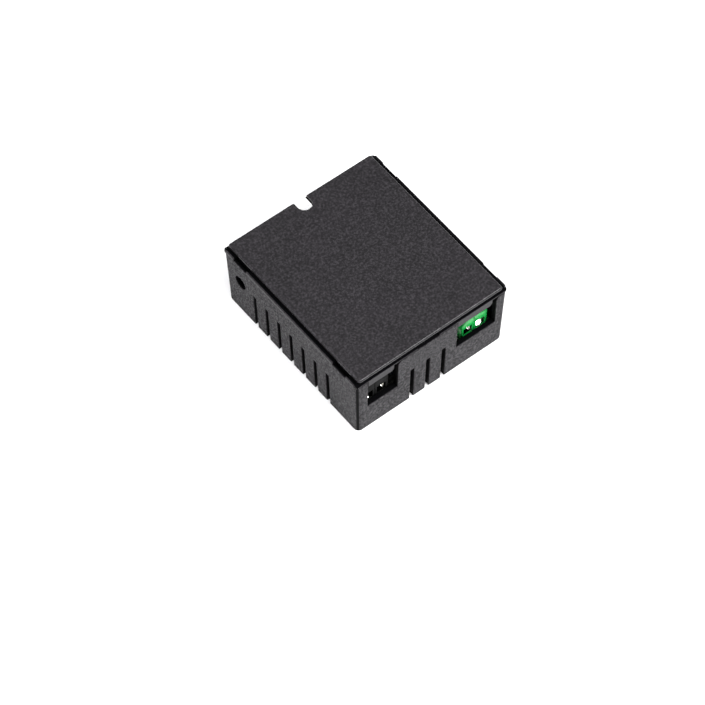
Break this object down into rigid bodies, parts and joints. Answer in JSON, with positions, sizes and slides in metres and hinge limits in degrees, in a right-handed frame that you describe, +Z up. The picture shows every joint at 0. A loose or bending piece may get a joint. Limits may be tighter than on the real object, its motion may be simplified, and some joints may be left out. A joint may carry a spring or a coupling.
{
  "type": "ultrasonic distance sensor",
  "caption": "Boxed ultrasonic distance sensor: vented plastic case with clip-on lid, wire windows over screw terminals, and two transducers facing out of the back.",
  "frame": {"origin": "centre of the flat underside of the case", "axes": "+Z up through the lid, +Y the way the transducers look, -Y the wire windows"},
  "size_m": [0.06, 0.0674, 0.0278],
  "materials": {
    "case_plastic": "fine spark-textured black ABS",
    "circuit_board": "black solder mask on glass-epoxy board",
    "zinc_plated_steel": "bright zinc plate",
    "nickel_plated_steel": "nickel plate",
    "tinned_brass": "bright tin plate",
    "tinned_metal": "satin tin plate",
    "spun_aluminium": "satin drawn aluminium",
    "sensor_mesh": "fine grille",
    "black_rubber": "matte",
    "sensor_base_plastic": "moulded",
    "black_polyamide": "moulded, slight sheen",
    "green_polyamide": "bright green moulded, slight sheen",
    "chip_compound": "fine matte epoxy",
    "drawn_steel": "tin-plated drawn steel",
    "ferrite": "fired ferrite",
    "capacitor_sleeve": "shrunk sleeve on aluminium",
    "chip_ceramic": "fired ceramic",
    "lamp_lens": "water-clear epoxy",
    "trimmer_blue": "moulded blue",
    "trimmer_white": "moulded white"
  },
  "bodies": {
    "case": {"amplifier_chip": "chip_compound", "amplifier_leads": "tinned_metal", "base_shell": "case_plastic", "board_screws": "zinc_plated_steel", "carrier_board": "circuit_board", "chip_capacitors": "chip_ceramic", "chip_resistors": "chip_compound", "controller_chip": "chip_compound", "controller_leads": "tinned_metal", "crystal_can": "drawn_steel", "diode": "chip_compound", "header_block": "black_polyamide", "header_pins": "tinned_metal", "input_capacitor": "capacitor_sleeve", "main_board": "circuit_board", "power_terminal_contacts": "tinned_metal", "power_terminal_housing": "black_polyamide", "push_switch": "black_polyamide", "receiver_base": "sensor_base_plastic", "receiver_can": "spun_aluminium", "receiver_cone": "sensor_mesh", "receiver_grommet": "black_rubber", "receiver_mesh": "sensor_mesh", "receiver_pins": "tinned_metal", "regulator": "chip_compound", "reservoir_capacitor": "capacitor_sleeve", "signal_terminal_contacts": "tinned_metal", "signal_terminal_housing": "green_polyamide", "status_light": "lamp_lens", "transformer_base": "black_polyamide", "transformer_can": "drawn_steel", "transformer_core": "ferrite", "transmitter_base": "sensor_base_plastic", "transmitter_can": "spun_aluminium", "transmitter_cone": "sensor_mesh", "transmitter_grommet": "black_rubber", "transmitter_mesh": "sensor_mesh", "transmitter_pins": "tinned_metal", "trimmer_body": "trimmer_blue"},
    "lid": {"lid": "case_plastic"},
    "power_clamp_cage_1": {"power_clamp_cage_1": "tinned_brass"},
    "power_clamp_cage_2": {"power_clamp_cage_2": "tinned_brass"},
    "power_clamp_screw_1": {"power_clamp_screw_1": "nickel_plated_steel"},
    "power_clamp_screw_2": {"power_clamp_screw_2": "nickel_plated_steel"},
    "button": {"push_button": "black_polyamide"},
    "signal_clamp_cage_1": {"signal_clamp_cage_1": "tinned_brass"},
    "signal_clamp_cage_2": {"signal_clamp_cage_2": "tinned_brass"},
    "signal_clamp_screw_1": {"signal_clamp_screw_1": "nickel_plated_steel"},
    "signal_clamp_screw_2": {"signal_clamp_screw_2": "nickel_plated_steel"},
    "trimmer": {"trimmer_rotor": "trimmer_white"}
  },
  "joints": [
    {"name": "lid_lift", "type": "slide", "parent": "case", "child": "lid", "axis": [0, 0, 1], "range_m": [0, 0.04]},
    {"name": "button_press", "type": "slide", "parent": "case", "child": "button", "axis": [1, 0, 0], "range_m": [0, 0.00025], "stiffness_N_per_m": 2000},
    {"name": "trimmer_turn", "type": "hinge", "parent": "case", "child": "trimmer", "pos_m": [0.0175, 0.00679, 0.013], "axis": [0, 0, -1], "range_deg": [-120, 120]},
    {"name": "power_screw_1_turn", "type": "hinge", "parent": "case", "child": "power_clamp_screw_1", "pos_m": [-0.02294, -0.0279, 0.0165], "axis": [0, 0, -1], "range_deg": [0, 1200]},
    {"name": "power_cage_1_rise", "type": "slide", "parent": "case", "child": "power_clamp_cage_1", "axis": [0, 0, 1], "range_m": [0, 0.0015]},
    {"name": "power_screw_2_turn", "type": "hinge", "parent": "case", "child": "power_clamp_screw_2", "pos_m": [-0.01786, -0.0279, 0.0165], "axis": [0, 0, -1], "range_deg": [0, 1200]},
    {"name": "power_cage_2_rise", "type": "slide", "parent": "case", "child": "power_clamp_cage_2", "axis": [0, 0, 1], "range_m": [0, 0.0015]},
    {"name": "signal_screw_1_turn", "type": "hinge", "parent": "case", "child": "signal_clamp_screw_1", "pos_m": [0.01646, -0.0279, 0.0165], "axis": [0, 0, -1], "range_deg": [0, 1200]},
    {"name": "signal_cage_1_rise", "type": "slide", "parent": "case", "child": "signal_clamp_cage_1", "axis": [0, 0, 1], "range_m": [0, 0.0015]},
    {"name": "signal_screw_2_turn", "type": "hinge", "parent": "case", "child": "signal_clamp_screw_2", "pos_m": [0.02154, -0.0279, 0.0165], "axis": [0, 0, -1], "range_deg": [0, 1200]},
    {"name": "signal_cage_2_rise", "type": "slide", "parent": "case", "child": "signal_clamp_cage_2", "axis": [0, 0, 1], "range_m": [0, 0.0015]}
  ],
  "couplings": [
    {"joint": "power_screw_1_turn", "follows": "power_cage_1_rise", "rad_per_m": 13963},
    {"joint": "power_screw_2_turn", "follows": "power_cage_2_rise", "rad_per_m": 13963},
    {"joint": "signal_screw_1_turn", "follows": "signal_cage_1_rise", "rad_per_m": 13963},
    {"joint": "signal_screw_2_turn", "follows": "signal_cage_2_rise", "rad_per_m": 13963}
  ]
}
